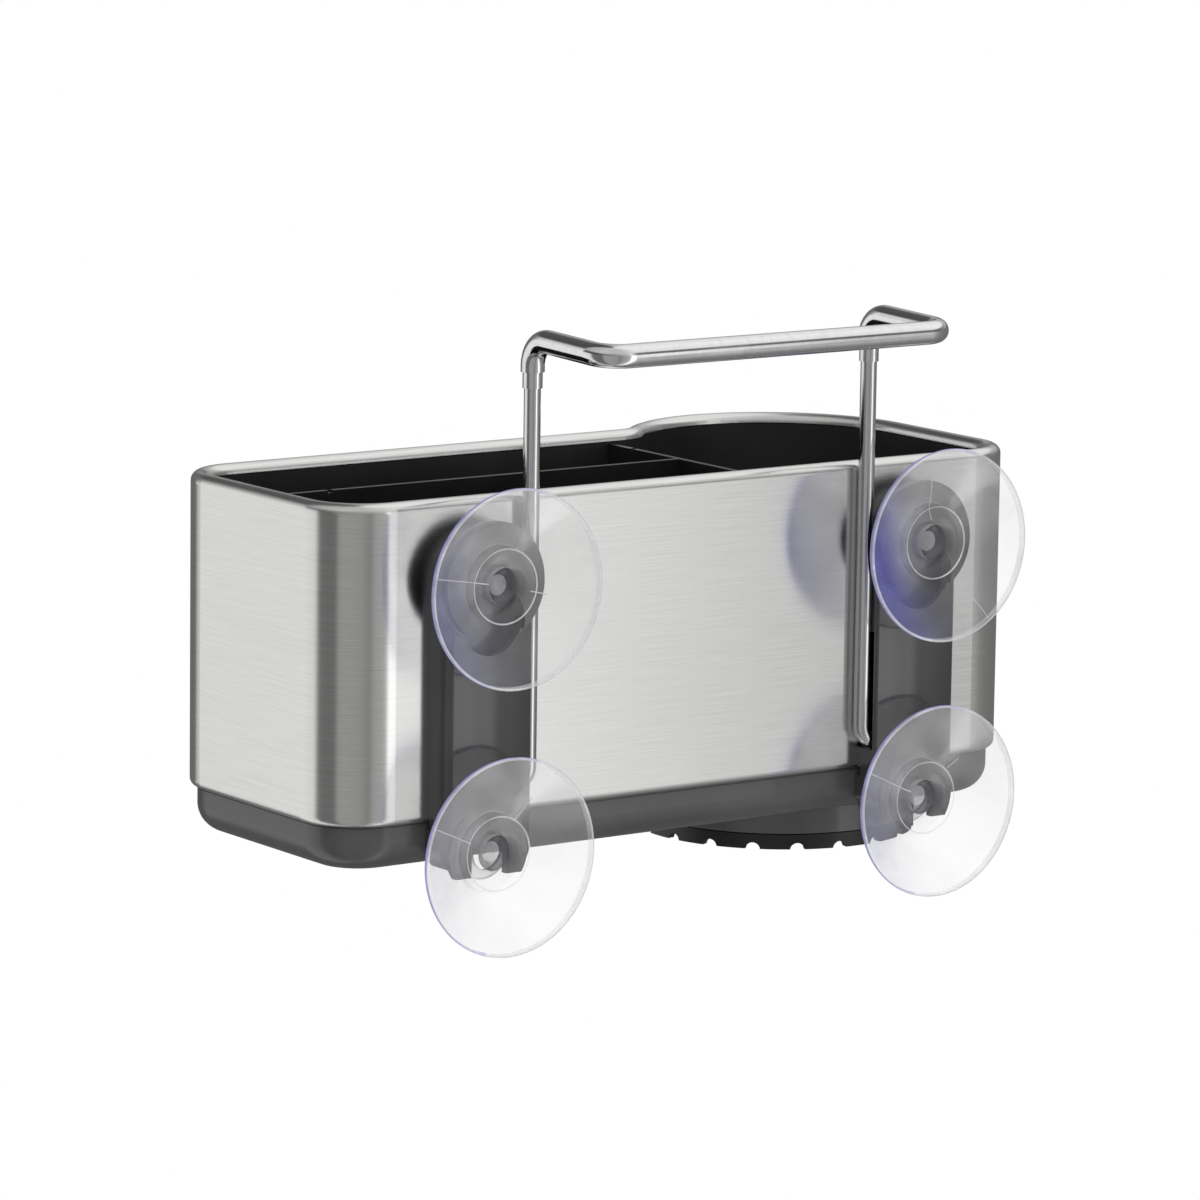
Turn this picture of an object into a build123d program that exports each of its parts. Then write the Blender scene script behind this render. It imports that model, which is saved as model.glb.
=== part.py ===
"""Kitchen sink caddy: a steel-wrapped, two-channel caddy with a round bottle well.

It hangs on the wall of a sink by four suction cups on two brackets, under a wire
hanger that lies over the rim of the sink. Millimetres, +Z up, +Y towards the sink
wall. The origin lies midway between the four cups, in the plane of the upper rims.
"""
from math import atan2, cos, radians, sin, sqrt, tan
import os

from build123d import *

os.makedirs("parts", exist_ok=True)

# Body, seen from above
body_length = 240.0
body_depth = 90.0
corner_radius = 19.0
bulge_radius = 46.5
bulge_reach = 15.0
blend_radius = 8.0

# Steel wrap
shell_height = 90.0
sheet = 0.7
rim_roll_radius = 2.8
hem_radius = 2.2

# Where the body hangs from the cups
stand_off = 21.0
cup_end_inset = 45.0
cup_spacing_z = 75.0
lower_cup_drop = 8.1

# Black liner
liner_inset = 4.1
liner_wall = 1.5
liner_rim_gap = 0.3
liner_lift = 0.6
liner_floor = 1.8
rib_width = 1.4
rib_depth = 2.4
rib_drop = 6.0
drain_slot_width = 3.0
drain_slot_row_gap = 7.0
drain_slot_columns = 3
back_slot_rows = 3
front_slot_rows = 2

# Bottle well and the drum under it
well_radius = 36.0
well_hole_radius = 2.5
well_hole_ring_radius = 20.0
well_holes = 8
drum_radius = 42.0
drum_depth = 9.5
drum_wall = 2.0
well_floor_gap = 2.7

# Base tray
base_inset = 2.2
base_height = 13.0
base_gap = 0.5
base_wall = 2.0
base_edge_radius = 8.0
lip_gap = 0.3
lip_wall = 1.2
lip_height = 4.5
screw_inset_x = 26.0
screw_inset_y = 24.0
screw_divider_gap = 12.3
column_radius = 4.2
boss_radius = 3.6
boss_length = 6.0

# Drain dial
dial_gap = 0.3
dial_height = 4.4
dial_plate = 2.0
dial_skirt = 2.4
grip_notches = 20
grip_notch_radius = 2.2
grip_notch_drop = 0.3
grip_notch_start = 9.0
drain_windows = 6
window_width = 3.0
window_inner_radius = 13.0
window_outer_radius = 26.0
dial_travel = 30.0
pivot_radius = 5.0
pivot_clearance = 0.06
pivot_rise = 1.9
clip_radius = 8.5
clip_thickness = 1.0
clip_groove = 0.9
clip_gap = 0.15
stop_radius = 1.5
stop_length = 1.3
stop_place_radius = 30.5
stop_clearance = 0.3
seal_radius = 37.2
seal_width = 2.4
seal_depth = 1.0

# Dividers
divider_thickness = 1.8
divider_clearance = 0.3
divider_drop = 0.4
cross_divider_gap = 5.7
tab_height = 12.0
tab_clearance = 0.15
notch_width = 1.6
notch_depth = 0.8
notch_place = 23.0
tab_shares = (0.25, 0.75)

# Brackets
bracket_width = 29.1
bracket_depth = 8.0
bracket_wall = 2.2
crown_rise = 1.2
outer_edge_radius = 3.2
inner_edge_radius = 0.8
head_depth = 10.0
head_flange_radius = 17.3
head_flange_thickness = 1.7
head_boss_radius = 16.2
head_boss_thickness = 1.6
head_plate = 2.5
pad_radius = 13.0
entry_radius = 9.75
entry_drop = 10.5
throat_width = 10.6
seat_clearance = 0.3
fork_length = 7.0
prong_radius = 8.0
foot_shelf_gap = 0.3
pocket_floor = 1.6
heel_gap = 0.2
heel_height = 13.0
toe_slot_clearance = 0.6

# Hanger
wire_diameter = 4.7
wire_wall_gap = 0.25
wire_side_gap = 0.15
leg_sink = 0.45
toe_length = 6.4
toe_bend_radius = 4.5
toe_height = 8.8
hanger_travel = 27.5
arm_height = 133.0
arm_drop = 1.3
arm_reach = 35.5
bend_radius = 7.2
sleeve_diameter = 6.7
sleeve_cuff_diameter = 5.6
sleeve_bore_gap = 0.05
sleeve_cuff_bottom = 119.3
sleeve_cuff_length = 4.5

# Suction cups
cup_radius = 28.0
cup_land = 0.7
cup_edge = 2.0
dish_depth = 6.5
dish_sag = 0.6
dish_floor_radius = 10.4
hub_radius = 11.0
hub_gap = 0.3
neck_radius = 5.5
knob_radius = 8.5
knob_thickness = 2.4
knob_gap = 0.3
core_mouth_radius = 5.2
core_foot_radius = 2.9
core_depth = 3.9

# Screws
screw_radius = 1.4
screw_pilot_gap = 0.05
screw_hole_gap = 0.3
screw_head_radius = 2.9
screw_head_height = 1.8
bracket_screw_length = 5.2
base_screw_length = 10.0
screw_tip_room = 0.5
drive_width = 0.8
drive_depth = 0.9
bracket_screw_heights = (36.0, 12.0)

# One overrun serves every cut
over = 1.0


def drain_slot_pitch_share(s):
    """Slot pitch as a share of the distance between the screws under the channels."""
    return 0.3 * s


def drain_slot_length_share(s):
    """Slot length as a share of the slot pitch."""
    return 0.65 * s


def back_channel_share(s):
    """Depth of the long divider's middle as a share of the depth of the body."""
    return 0.55 * s


def cup_back_shares(s):
    """Radius and depth of each point that the back of the cup curves through, from the rim to the hub."""
    radius, depth = s
    shares = ((0.80, 0.32), (0.62, 0.49), (0.48, 0.67), (0.415, 0.83))
    return [(radius * out, depth * deep) for out, deep in shares]


# Places that follow from the sizes above
half_length = body_length / 2
back_y = -stand_off
front_y = back_y - body_depth
shell_bottom = lower_cup_drop - cup_spacing_z / 2
shell_top = shell_bottom + shell_height
bulge_x = -half_length + bulge_radius
bulge_y = front_y - bulge_reach + bulge_radius
well_x = bulge_x
well_y = bulge_y
liner_inner = liner_inset + liner_wall
liner_top = shell_top - rim_roll_radius - liner_rim_gap
liner_bottom = shell_bottom + liner_lift
floor_top = liner_bottom + liner_floor
base_top = shell_bottom - base_gap
base_bottom = base_top - base_height + base_gap
drum_bottom = base_bottom - drum_depth
drum_floor_top = drum_bottom + drum_wall
well_floor_bottom = drum_floor_top + well_floor_gap
well_floor_top = well_floor_bottom + liner_wall
dial_top = drum_bottom - dial_gap
dial_bottom = dial_top - dial_height
cross_x = well_x + well_radius + liner_wall + cross_divider_gap
long_y = back_y - back_channel_share(body_depth)
divider_top = liner_top - divider_drop
divider_bottom = floor_top + divider_clearance
cup_x = half_length - cup_end_inset
cup_z = cup_spacing_z / 2
wire_radius = wire_diameter / 2
leg_x = cup_x - bracket_width / 2 + leg_sink - wire_radius
leg_y = back_y + wire_wall_gap + wire_radius
toe_z = shell_bottom + toe_height
arm_z = shell_bottom + arm_height
bar_z = arm_z - arm_drop
bar_y = leg_y + arm_reach
head_front = back_y + head_depth
bar_front = back_y + bracket_depth
plate_back = head_front - head_plate
cavity_front = bar_front - bracket_wall
shelf_z = toe_z - wire_radius - foot_shelf_gap
bracket_bottom = -cup_z - fork_length
inner_side_x = cup_x - bracket_width / 2
cavity_half = bracket_width / 2 - bracket_wall
groove_top = toe_z + hanger_travel + toe_bend_radius
groove_front = leg_y + wire_radius + toe_slot_clearance
pocket_radius = entry_radius
neck_seat_radius = neck_radius + seat_clearance
shell_inside_y = back_y - sheet
base_back_y = back_y - base_inset
boss_bottom = liner_bottom - boss_length
base_floor_top = base_bottom + base_wall
base_seat_z = base_bottom + screw_head_height + screw_hole_gap
base_pilot_top = base_seat_z + base_screw_length + screw_tip_room


def facing(y):
    """Upright plane at that depth: its own x and y are X and Z, and it extrudes away from the sink wall."""
    return Plane.XZ.offset(-y)


def plan_line(inset):
    """Closed plan line of the body, moved inwards all round by the inset."""
    right = half_length - inset
    left = -right
    back = back_y - inset
    front = front_y + inset
    corner = corner_radius - inset
    bulge = bulge_radius - inset
    blend = blend_radius + inset
    blend_y = front - blend
    blend_x = bulge_x + sqrt((bulge + blend) ** 2 - (bulge_y - blend_y) ** 2)
    turn = atan2(blend_y - bulge_y, blend_x - bulge_x)
    meet = (bulge_x + bulge * cos(turn), bulge_y + bulge * sin(turn))
    with BuildLine() as line:
        Line((right - corner, back), (left + corner, back))
        TangentArc((left + corner, back), (left, back - corner), tangent=(-1, 0))
        Line((left, back - corner), (left, bulge_y))
        TangentArc((left, bulge_y), meet, tangent=(0, -1))
        TangentArc(meet, (blend_x, front), tangent=(-sin(turn), cos(turn)))
        Line((blend_x, front), (right - corner, front))
        TangentArc((right - corner, front), (right, front + corner), tangent=(1, 0))
        Line((right, front + corner), (right, back - corner))
        TangentArc((right, back - corner), (right - corner, back), tangent=(0, 1))
    return line.wire()


def plan_face(inset):
    """The same plan as a face, for extruding."""
    return make_face(plan_line(inset).edges(), mode=Mode.PRIVATE)


def bent_line(points, radii):
    """Centre line through the points, each inner corner rounded with its own radius."""
    spots = [Vector(*point) for point in points]
    with BuildLine() as line:
        start = spots[0]
        for before, corner, after, radius in zip(spots, spots[1:], spots[2:], radii):
            towards_back = (before - corner).normalized()
            towards_next = (after - corner).normalized()
            half_turn = radians(towards_back.get_angle(towards_next)) / 2
            run = radius / tan(half_turn)
            middle = (towards_back + towards_next).normalized()
            arc_start = corner + towards_back * run
            arc_end = corner + towards_next * run
            arc_middle = corner + middle * (radius / sin(half_turn) - radius)
            Line(start, arc_start)
            ThreePointArc(arc_start, arc_middle, arc_end)
            start = arc_end
        Line(start, spots[-1])
    return line.wire()


def block(x_pair, y_pair, z_pair, mode=Mode.ADD):
    """Block between those pairs of faces, in the part being built."""
    spans = [abs(second - first) for first, second in (x_pair, y_pair, z_pair)]
    centre = [(first + second) / 2 for first, second in (x_pair, y_pair, z_pair)]
    with Locations(tuple(centre)):
        Box(*spans, mode=mode)


def bracket_screw_places():
    """X and Z of every screw that holds a bracket."""
    return [(side * cup_x, shell_bottom + height) for side in (1, -1) for height in bracket_screw_heights]


def base_screw_places():
    """X and Y of every screw that holds the base."""
    outer_x = half_length - screw_inset_x
    inner_x = cross_x + screw_divider_gap
    back_row = back_y - screw_inset_y
    front_row = front_y + screw_inset_y
    return [(x, y) for x in (outer_x, inner_x) for y in (back_row, front_row)]


# Steel wrap: one section with a rolled rim and a turned-in hem, swept round the plan
rim_start = (half_length - corner_radius, back_y, shell_bottom)
section_plane = Plane(origin=rim_start, x_dir=(0, -1, 0), z_dir=(-1, 0, 0))
roll_height = shell_height - rim_roll_radius
with BuildPart() as steel_shell:
    with BuildLine(Plane.XY.offset(shell_bottom)) as shell_path:
        add(plan_line(0))
    with BuildSketch(section_plane):
        with BuildLine():
            RadiusArc((hem_radius, 0), (0, hem_radius), hem_radius)
            Line((0, hem_radius), (0, roll_height))
            ThreePointArc(
                (0, roll_height), (rim_roll_radius, shell_height), (2 * rim_roll_radius, roll_height)
            )
            Line((2 * rim_roll_radius, roll_height), (2 * rim_roll_radius - sheet, roll_height))
            ThreePointArc(
                (2 * rim_roll_radius - sheet, roll_height),
                (rim_roll_radius, shell_height - sheet),
                (sheet, roll_height),
            )
            Line((sheet, roll_height), (sheet, hem_radius))
            RadiusArc((sheet, hem_radius), (hem_radius, sheet), -(hem_radius - sheet))
            Line((hem_radius, sheet), (hem_radius, 0))
        make_face()
    sweep(path=shell_path.wire())
    with BuildSketch(facing(back_y + over)):
        with Locations(*bracket_screw_places()):
            Circle(screw_radius + screw_hole_gap)
    extrude(amount=sheet + 2 * over, mode=Mode.SUBTRACT)
steel_shell.part.label = "steel_shell"
export_step(steel_shell.part, "parts/steel_shell.step")


# Black liner: two channels' worth of tray with a deeper round well
screw_xs = [x for x, y in base_screw_places()]
slot_mid_x = (max(screw_xs) + min(screw_xs)) / 2
slot_pitch_x = drain_slot_pitch_share(max(screw_xs) - min(screw_xs))
slot_pitch_y = drain_slot_width + drain_slot_row_gap
slot_length = drain_slot_length_share(slot_pitch_x)
back_channel_y = (back_y - liner_inner + long_y) / 2
front_channel_y = (front_y + liner_inner + long_y) / 2
inner_back_y = back_y - liner_inner
inner_front_y = front_y + liner_inner
inner_end_x = half_length - liner_inner
rib_top = liner_top - rib_drop
rib_offset = divider_thickness / 2 + divider_clearance + rib_width / 2
with BuildPart() as inner_liner:
    with BuildSketch(Plane.XY.offset(liner_bottom)):
        add(plan_face(liner_inset))
    extrude(amount=liner_top - liner_bottom)
    with BuildSketch(Plane.XY.offset(well_floor_bottom)):
        with Locations((well_x, well_y)):
            Circle(well_radius + liner_wall)
    extrude(amount=floor_top - well_floor_bottom)
    with BuildSketch(Plane.XY.offset(boss_bottom)):
        with Locations(*base_screw_places()):
            Circle(boss_radius)
    extrude(amount=boss_length + liner_floor / 2)
    with BuildSketch(Plane.XY.offset(floor_top)):
        add(plan_face(liner_inner))
    extrude(amount=liner_top - floor_top + over, mode=Mode.SUBTRACT)
    with BuildSketch(Plane.XY.offset(well_floor_top)):
        with Locations((well_x, well_y)):
            Circle(well_radius)
    extrude(amount=floor_top - well_floor_top + over, mode=Mode.SUBTRACT)
    with BuildSketch(Plane.XY.offset(well_floor_bottom - over)):
        with Locations((well_x, well_y)):
            Circle(well_hole_radius)
            with PolarLocations(well_hole_ring_radius, well_holes):
                Circle(well_hole_radius)
    extrude(amount=liner_wall + 2 * over, mode=Mode.SUBTRACT)
    with BuildSketch(Plane.XY.offset(liner_bottom - over)):
        with Locations((slot_mid_x, back_channel_y)):
            with GridLocations(slot_pitch_x, slot_pitch_y, drain_slot_columns, back_slot_rows):
                SlotOverall(slot_length, drain_slot_width)
        with Locations((slot_mid_x, front_channel_y)):
            with GridLocations(slot_pitch_x, slot_pitch_y, drain_slot_columns, front_slot_rows):
                SlotOverall(slot_length, drain_slot_width)
    extrude(amount=liner_floor + 2 * over, mode=Mode.SUBTRACT)
    with BuildSketch(Plane.XY.offset(boss_bottom - over)):
        with Locations(*base_screw_places()):
            Circle(screw_radius + screw_pilot_gap)
    extrude(amount=base_pilot_top - boss_bottom + over, mode=Mode.SUBTRACT)
    with BuildSketch(Plane.XY.offset(floor_top)):
        for side in (1, -1):
            with Locations(
                (cross_x + side * rib_offset, inner_back_y - rib_depth / 2),
                (cross_x + side * rib_offset, inner_front_y + rib_depth / 2),
            ):
                Rectangle(rib_width, rib_depth)
            with Locations((inner_end_x - rib_depth / 2, long_y + side * rib_offset)):
                Rectangle(rib_depth, rib_width)
    extrude(amount=rib_top - floor_top)
inner_liner.part.label = "inner_liner"
export_step(inner_liner.part, "parts/inner_liner.step")

# Base tray with its drum, screw columns and lip
with BuildPart() as base_tray:
    with BuildSketch(Plane.XY.offset(base_bottom)):
        add(plan_face(base_inset))
    extrude(amount=base_top - base_bottom)
    fillet(base_tray.edges().group_by(Axis.Z)[0], base_edge_radius)
    with BuildSketch(Plane.XY.offset(drum_bottom)):
        with Locations((well_x, well_y)):
            Circle(drum_radius)
    extrude(amount=drum_depth + base_wall)
    with BuildSketch(Plane.XY.offset(base_top - lip_gap)):
        add(plan_face(hem_radius + lip_gap))
        add(plan_face(hem_radius + lip_gap + lip_wall), mode=Mode.SUBTRACT)
    extrude(amount=lip_height + lip_gap)
    with BuildPart(mode=Mode.SUBTRACT) as tray_room:
        with BuildSketch(Plane.XY.offset(base_floor_top)):
            add(plan_face(base_inset + base_wall))
        extrude(amount=base_top - base_floor_top + over)
        fillet(tray_room.edges().group_by(Axis.Z)[0], base_edge_radius - base_wall)
    with BuildSketch(Plane.XY.offset(drum_floor_top)):
        with Locations((well_x, well_y)):
            Circle(drum_radius - drum_wall)
    extrude(amount=base_top - drum_floor_top, mode=Mode.SUBTRACT)
    with BuildSketch(Plane.XY.offset(base_bottom + base_wall / 2)):
        with Locations(*base_screw_places()):
            Circle(column_radius)
    extrude(amount=boss_bottom - base_bottom - base_wall / 2)
    with BuildSketch(Plane.XY.offset(base_bottom - over)):
        with Locations(*base_screw_places()):
            Circle(screw_radius + screw_hole_gap)
    extrude(amount=boss_bottom - base_bottom + 2 * over, mode=Mode.SUBTRACT)
    with BuildSketch(Plane.XY.offset(base_bottom - over)):
        with Locations(*base_screw_places()):
            Circle(screw_head_radius + screw_hole_gap)
    extrude(amount=base_seat_z - base_bottom + over, mode=Mode.SUBTRACT)
    with BuildSketch(Plane.XY.offset(drum_bottom - over)):
        with Locations((well_x, well_y)):
            Circle(pivot_radius + pivot_clearance)
            with PolarLocations((window_inner_radius + window_outer_radius) / 2, drain_windows):
                SlotOverall(window_outer_radius - window_inner_radius, window_width)
    extrude(amount=drum_wall + 2 * over, mode=Mode.SUBTRACT)
    with BuildSketch(Plane.XY.offset(drum_bottom)):
        with Locations((well_x, well_y)):
            SlotArc(
                CenterArc((0, 0), stop_place_radius, 0, dial_travel, mode=Mode.PRIVATE),
                2 * (stop_radius + stop_clearance),
            )
    extrude(amount=stop_length, mode=Mode.SUBTRACT)
base_tray.part.label = "base_tray"
export_step(base_tray.part, "parts/base_tray.step")

# Drain dial: a grip ring whose windows pass under the windows of the drum
with BuildPart() as drain_dial:
    with BuildSketch(Plane.XY.offset(dial_bottom)):
        with Locations((well_x, well_y)):
            Circle(drum_radius)
    extrude(amount=dial_height)
    with BuildSketch(Plane.XY.offset(dial_bottom)):
        with Locations((well_x, well_y)):
            Circle(drum_radius - dial_skirt)
    extrude(amount=dial_height - dial_plate, mode=Mode.SUBTRACT)
    with BuildSketch(Plane.XY.offset(dial_top - dial_plate)):
        with Locations((well_x, well_y)):
            Circle(pivot_radius)
    extrude(amount=dial_plate + dial_gap + drum_wall + pivot_rise)
    with BuildSketch(Plane.XY.offset(dial_top - dial_plate / 2)):
        with Locations((well_x, well_y)):
            with Locations((stop_place_radius, 0)):
                Circle(stop_radius)
    extrude(amount=dial_plate / 2 + stop_length)
    with BuildSketch(Plane.XY.offset(dial_top - dial_plate - over)):
        with Locations((well_x, well_y)):
            with PolarLocations((window_inner_radius + window_outer_radius) / 2, drain_windows):
                SlotOverall(window_outer_radius - window_inner_radius, window_width)
    extrude(amount=dial_plate + 2 * over, mode=Mode.SUBTRACT)
    with BuildSketch(Plane.XY.offset(dial_top - seal_depth)):
        with Locations((well_x, well_y)):
            Circle(seal_radius + seal_width / 2)
            Circle(seal_radius - seal_width / 2, mode=Mode.SUBTRACT)
    extrude(amount=seal_depth + over, mode=Mode.SUBTRACT)
    with BuildSketch(Plane.XY.offset(drum_floor_top + clip_gap)):
        with Locations((well_x, well_y)):
            Circle(pivot_radius + over)
            Circle(pivot_radius - clip_groove, mode=Mode.SUBTRACT)
    extrude(amount=clip_thickness, mode=Mode.SUBTRACT)
    for notch in range(grip_notches):
        turn = grip_notch_start + notch * 360 / grip_notches
        with BuildSketch(
            Plane(
                origin=(well_x, well_y, dial_bottom - grip_notch_drop),
                x_dir=(-sin(radians(turn)), cos(radians(turn)), 0),
                z_dir=(cos(radians(turn)), sin(radians(turn)), 0),
            ).offset(drum_radius - dial_skirt - over)
        ):
            Circle(grip_notch_radius)
        extrude(amount=dial_skirt + 2 * over, mode=Mode.SUBTRACT)
drain_dial.part.label = "drain_dial"
export_step(drain_dial.part, "parts/drain_dial.step")

# Flat seal ring in the top of the dial
with BuildPart() as drain_seal:
    with BuildSketch(Plane.XY.offset(dial_top - seal_depth)):
        with Locations((well_x, well_y)):
            Circle(seal_radius + seal_width / 2)
            Circle(seal_radius - seal_width / 2, mode=Mode.SUBTRACT)
    extrude(amount=seal_depth + dial_gap / 2)
drain_seal.part.label = "drain_seal"
export_step(drain_seal.part, "parts/drain_seal.step")

# Spring clip that keeps the dial on the drum, open on one side
with BuildPart() as drain_clip:
    with BuildSketch(Plane.XY.offset(drum_floor_top + clip_gap)):
        with Locations((well_x, well_y)):
            Circle(clip_radius)
            Circle(pivot_radius - clip_groove, mode=Mode.SUBTRACT)
            with Locations((clip_radius, 0)):
                Rectangle(2 * clip_radius, pivot_radius, mode=Mode.SUBTRACT)
    extrude(amount=clip_thickness)
drain_clip.part.label = "drain_clip"
export_step(drain_clip.part, "parts/drain_clip.step")

# Dividers: the long one hooks into the cross one with two tabs
divider_height = divider_top - divider_bottom
tab_places = [divider_bottom + divider_height * share for share in tab_shares]
cross_back_y = inner_back_y - divider_clearance
cross_front_y = inner_front_y + divider_clearance
long_start_x = cross_x + divider_thickness / 2
long_end_x = inner_end_x - divider_clearance
with BuildPart() as cross_divider:
    with BuildSketch(Plane.YZ.offset(cross_x - divider_thickness / 2)):
        with Locations(((cross_back_y + cross_front_y) / 2, (divider_top + divider_bottom) / 2)):
            Rectangle(cross_back_y - cross_front_y, divider_height)
        with Locations(*[(long_y, place) for place in tab_places]):
            Rectangle(
                divider_thickness + 2 * tab_clearance, tab_height + 2 * tab_clearance, mode=Mode.SUBTRACT
            )
        with Locations((long_y - notch_place, divider_top)):
            Rectangle(notch_width, 2 * notch_depth, mode=Mode.SUBTRACT)
    extrude(amount=divider_thickness)
cross_divider.part.label = "cross_divider"
export_step(cross_divider.part, "parts/cross_divider.step")

with BuildPart() as long_divider:
    with BuildSketch(facing(long_y + divider_thickness / 2)):
        with Locations(((long_start_x + long_end_x) / 2, (divider_top + divider_bottom) / 2)):
            Rectangle(long_end_x - long_start_x, divider_height)
        with Locations(*[(cross_x, place) for place in tab_places]):
            Rectangle(divider_thickness, tab_height)
        with Locations((long_end_x - notch_place, divider_top)):
            Rectangle(notch_width, 2 * notch_depth, mode=Mode.SUBTRACT)
    extrude(amount=divider_thickness)
long_divider.part.label = "long_divider"
export_step(long_divider.part, "parts/long_divider.step")


# Bracket at the channel end; the one at the well end is its mirror image
outer_side_x = cup_x + bracket_width / 2
crown_edge_y = bar_front - crown_rise
entry_z = cup_z - entry_drop
pocket_floor_bottom = entry_z - entry_radius - bracket_wall
heel_back = base_back_y + heel_gap
heel_top = bracket_bottom + heel_height
with BuildPart() as bracket_channel_end:
    with BuildSketch(Plane.XY.offset(bracket_bottom)):
        with BuildLine():
            Line((inner_side_x, back_y), (inner_side_x, crown_edge_y))
            ThreePointArc((inner_side_x, crown_edge_y), (cup_x, bar_front), (outer_side_x, crown_edge_y))
            Line((outer_side_x, crown_edge_y), (outer_side_x, back_y))
            Line((outer_side_x, back_y), (inner_side_x, back_y))
        make_face()
    extrude(amount=cup_z + bracket_width / 2 - bracket_bottom)
    front_edges = bracket_channel_end.edges().filter_by(Axis.Z).sort_by(Axis.Y)[-2:]
    fillet(front_edges.sort_by(Axis.X)[0], inner_edge_radius)
    outer_edges = bracket_channel_end.edges().filter_by(Axis.Z).sort_by(Axis.X)[-2:]
    fillet(outer_edges.sort_by(Axis.Y)[-1], outer_edge_radius)
    block((inner_side_x, outer_side_x), (back_y, heel_back), (bracket_bottom, heel_top))
    with BuildSketch(facing(0)) as bar_outline:
        with Locations((cup_x, cup_z)):
            Circle(bracket_width / 2)
        with Locations((cup_x, (cup_z + bracket_bottom) / 2)):
            Rectangle(bracket_width, cup_z - bracket_bottom)
        fillet(bar_outline.vertices().group_by(Axis.Y)[0], prong_radius)
    extrude(amount=2 * stand_off, mode=Mode.INTERSECT)
    with BuildSketch(facing(head_front - head_boss_thickness)):
        with Locations((cup_x, cup_z)):
            Circle(head_flange_radius)
    extrude(amount=head_flange_thickness)
    with BuildSketch(facing(head_front)):
        with Locations((cup_x, cup_z)):
            Circle(head_boss_radius)
    extrude(amount=head_depth - bracket_depth + bracket_wall)
    with BuildSketch(facing(bar_front)):
        with Locations((cup_x, -cup_z)):
            Circle(pad_radius)
        with Locations((cup_x, bracket_bottom - pad_radius)):
            Rectangle(2 * pad_radius, 2 * pad_radius, mode=Mode.SUBTRACT)
    extrude(amount=bracket_wall)
    with BuildSketch(facing(cavity_front)):
        with Locations((cup_x, cup_z)):
            Circle(cavity_half)
        with Locations((cup_x, (cup_z + bracket_bottom) / 2 - over)):
            Rectangle(2 * cavity_half, cup_z - bracket_bottom + 2 * over)
    extrude(amount=2 * stand_off, mode=Mode.SUBTRACT)
    with BuildSketch(facing(back_y + pocket_floor)):
        with Locations((cup_x, cup_z)):
            Circle(bracket_width / 2 - bracket_wall / 2)
        with Locations((cup_x, (cup_z + pocket_floor_bottom) / 2)):
            Rectangle(bracket_width - bracket_wall, cup_z - pocket_floor_bottom)
    extrude(amount=pocket_floor)
    with BuildSketch(facing(plate_back)):
        with Locations((cup_x, cup_z), (cup_x, entry_z)):
            Circle(pocket_radius)
        with Locations((cup_x, (cup_z + entry_z) / 2)):
            Rectangle(2 * pocket_radius, cup_z - entry_z)
    extrude(amount=plate_back - back_y - pocket_floor, mode=Mode.SUBTRACT)
    with BuildSketch(facing(head_front + over)):
        with Locations((cup_x, cup_z), (cup_x, -cup_z)):
            Circle(neck_seat_radius)
        with Locations((cup_x, entry_z)):
            Circle(entry_radius)
        with Locations((cup_x, (cup_z + entry_z) / 2)):
            Rectangle(throat_width, cup_z - entry_z)
        with Locations((cup_x, -cup_z - fork_length / 2 - over)):
            Rectangle(2 * neck_seat_radius, fork_length + 2 * over)
    extrude(amount=head_front - cavity_front + 2 * over, mode=Mode.SUBTRACT)
    block(
        (inner_side_x - over, inner_side_x + bracket_wall + over),
        (back_y - over, groove_front),
        (shelf_z, groove_top),
        mode=Mode.SUBTRACT,
    )
    with BuildSketch(Plane.XY.offset(shelf_z)):
        with Locations((leg_x, leg_y)):
            Circle(wire_radius + wire_side_gap)
        with Locations((leg_x, (leg_y + back_y) / 2)):
            Rectangle(2 * (wire_radius + wire_side_gap), leg_y - back_y + 2 * over)
    extrude(amount=shell_height, mode=Mode.SUBTRACT)
    with BuildSketch(facing(cavity_front + bracket_wall / 2)):
        with Locations(*[(x, z) for x, z in bracket_screw_places() if x > 0]):
            Circle(boss_radius)
    extrude(amount=cavity_front + bracket_wall / 2 - back_y)
    with BuildSketch(facing(back_y + bracket_screw_length - sheet + screw_tip_room)):
        with Locations(*[(x, z) for x, z in bracket_screw_places() if x > 0]):
            Circle(screw_radius + screw_pilot_gap)
    extrude(amount=stand_off, mode=Mode.SUBTRACT)
bracket_channel_end.part.label = "bracket_channel_end"
export_step(bracket_channel_end.part, "parts/bracket_channel_end.step")

with BuildPart() as bracket_well_end:
    add(mirror(bracket_channel_end.part, about=Plane.YZ, mode=Mode.PRIVATE))
bracket_well_end.part.label = "bracket_well_end"
export_step(bracket_well_end.part, "parts/bracket_well_end.step")

# Screws: pan heads with a cross drive
with BuildPart() as bracket_screws:
    with BuildSketch(facing(shell_inside_y)):
        with Locations(*bracket_screw_places()):
            Circle(screw_head_radius)
    extrude(amount=screw_head_height)
    with BuildSketch(facing(shell_inside_y + bracket_screw_length)):
        with Locations(*bracket_screw_places()):
            Circle(screw_radius)
    extrude(amount=bracket_screw_length + screw_head_height / 2)
    with BuildSketch(facing(shell_inside_y - screw_head_height + drive_depth)):
        with Locations(*bracket_screw_places()):
            Rectangle(2 * screw_radius, drive_width)
            Rectangle(drive_width, 2 * screw_radius)
    extrude(amount=drive_depth + over, mode=Mode.SUBTRACT)
bracket_screws.part.label = "bracket_screws"
export_step(bracket_screws.part, "parts/bracket_screws.step")

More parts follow.
